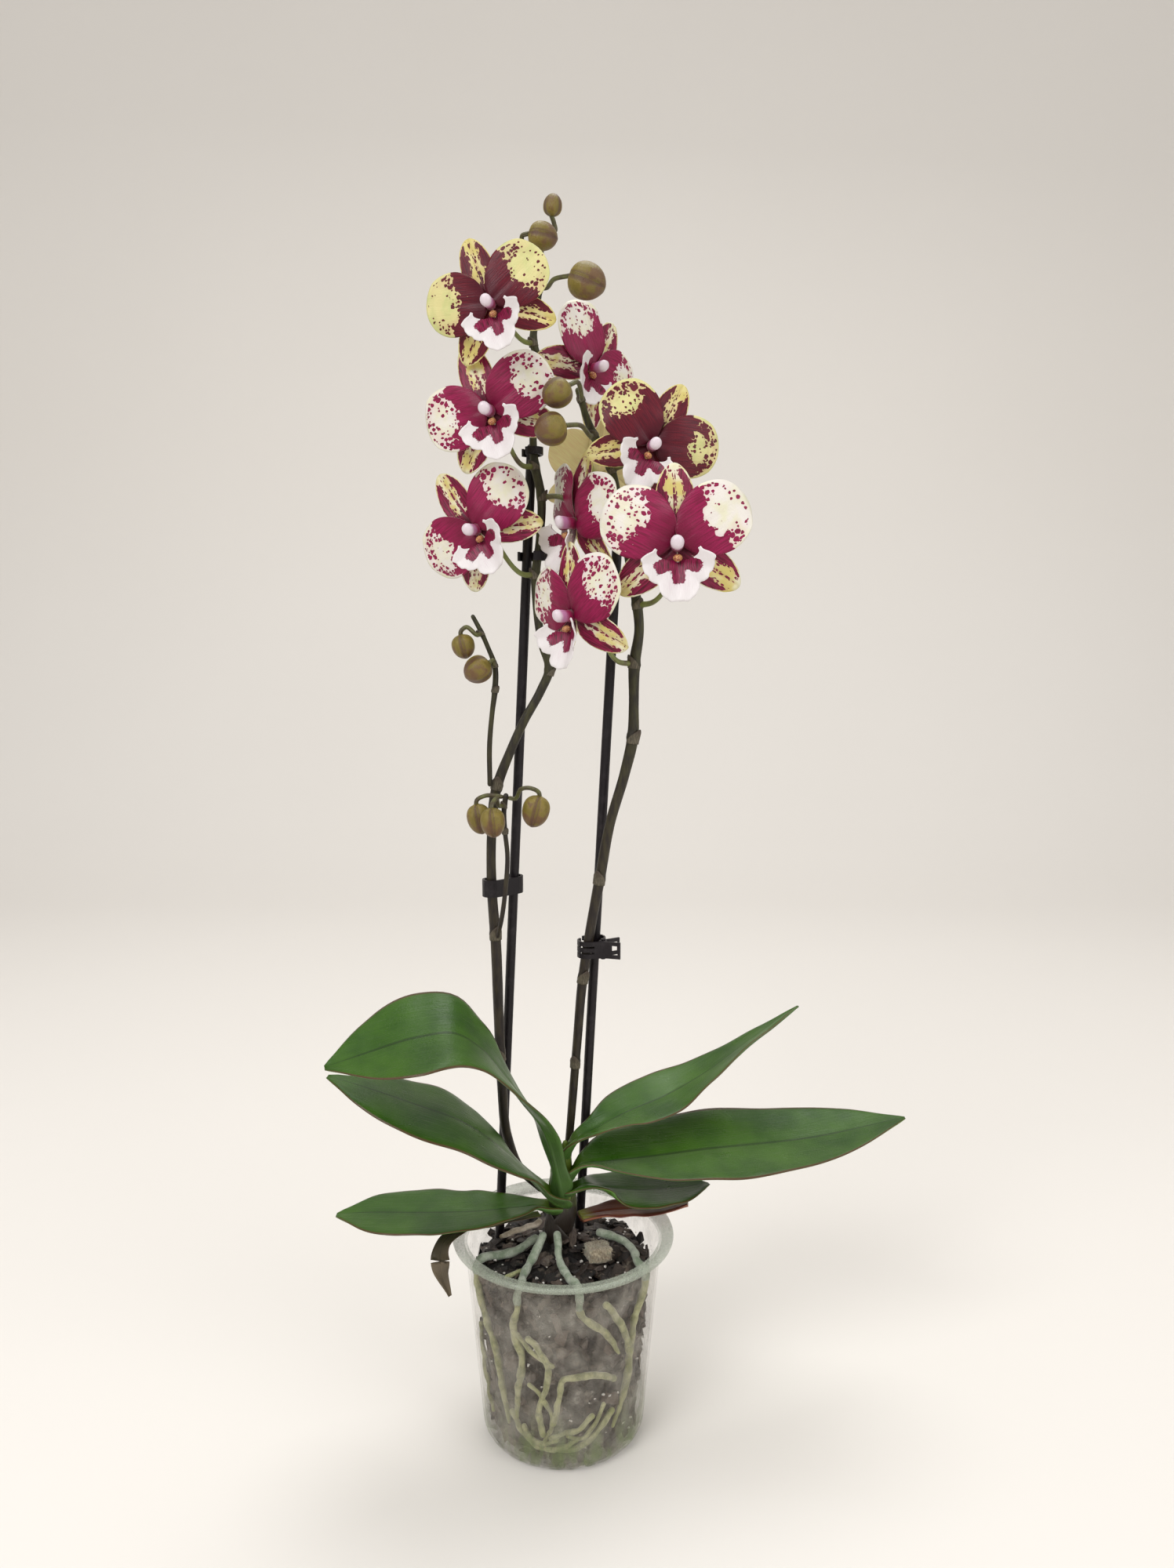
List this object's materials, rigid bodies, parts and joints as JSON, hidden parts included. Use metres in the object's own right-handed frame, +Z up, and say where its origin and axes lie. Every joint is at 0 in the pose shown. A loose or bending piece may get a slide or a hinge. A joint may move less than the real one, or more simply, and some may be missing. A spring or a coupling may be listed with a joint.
{
  "type": "potted orchid",
  "caption": "Potted moth orchid with two staked flower spikes, spotted blooms and buds, in a clear nursery pot.",
  "frame": {"origin": "centre of the pot's flat base", "axes": "+Z up along the pot, the flowers face -Y"},
  "size_m": [0.3138, 0.131, 0.6456],
  "materials": {
    "pot_plastic": "satin",
    "bark": "matte",
    "coco_fibre": "matte",
    "root": "satin",
    "dry_root": "matte",
    "crown": "satin",
    "stem": "satin",
    "leaf": "gloss",
    "old_leaf": "satin",
    "petal_yellow": "satin",
    "petal_white": "satin",
    "lip": "satin",
    "bud": "satin",
    "black_plastic": "satin"
  },
  "bodies": {
    "root": {"nursery_pot": "pot_plastic", "bark_fill": "bark", "fibre_plug": "coco_fibre", "crown": "crown", "dry_root": "dry_root", "old_leaf_right": "old_leaf", "dry_leaf_left": "old_leaf", "flower_spike_left": "stem", "flower_spike_right": "stem", "side_branch_upper": "stem", "side_branch_lower": "stem", "stake_left": "black_plastic", "stake_right": "black_plastic", "root_front": "root", "root_front_left": "root", "root_left": "root", "root_right": "root", "wall_root_middle": "root", "wall_root_cross": "root", "leaf_upper_left": "leaf", "leaf_mid_left": "leaf", "leaf_lower_left": "leaf", "leaf_right": "leaf", "leaf_upper_right": "leaf", "leaf_lower_right": "leaf", "flower_1": "petal_yellow", "flower_1_lip": "lip", "flower_2": "petal_white", "flower_2_lip": "lip", "flower_3": "petal_white", "flower_3_lip": "lip", "flower_4": "petal_yellow", "flower_4_lip": "lip", "flower_5": "petal_white", "flower_5_lip": "lip", "flower_6": "petal_white", "flower_6_lip": "lip", "flower_7": "petal_white", "flower_7_lip": "lip", "flower_8": "petal_white", "flower_8_lip": "lip", "flower_9": "petal_yellow", "flower_9_lip": "lip", "bud_1": "bud", "bud_2": "bud", "bud_3": "bud", "bud_4": "bud", "bud_5": "bud", "bud_6": "bud", "bud_7": "bud", "bud_8": "bud", "bud_9": "bud", "bud_10": "bud", "twin_ring_clip": "black_plastic", "upper_left_clip": "black_plastic", "middle_left_clip": "black_plastic", "upper_right_clip": "black_plastic", "claw_clip_front_jaw": "black_plastic", "claw_clip_pin": "black_plastic"},
    "claw_jaw": {"claw_clip_back_jaw": "black_plastic"}
  },
  "joints": [
    {"name": "claw_clip_hinge", "type": "hinge", "parent": "root", "child": "claw_jaw", "pos_m": [0.0215, 0.0035, 0.27], "axis": [0, 0, -1], "range_deg": [0, 30], "stiffness_Nm_per_rad": 0.02, "springref_deg": -11.46}
  ]
}
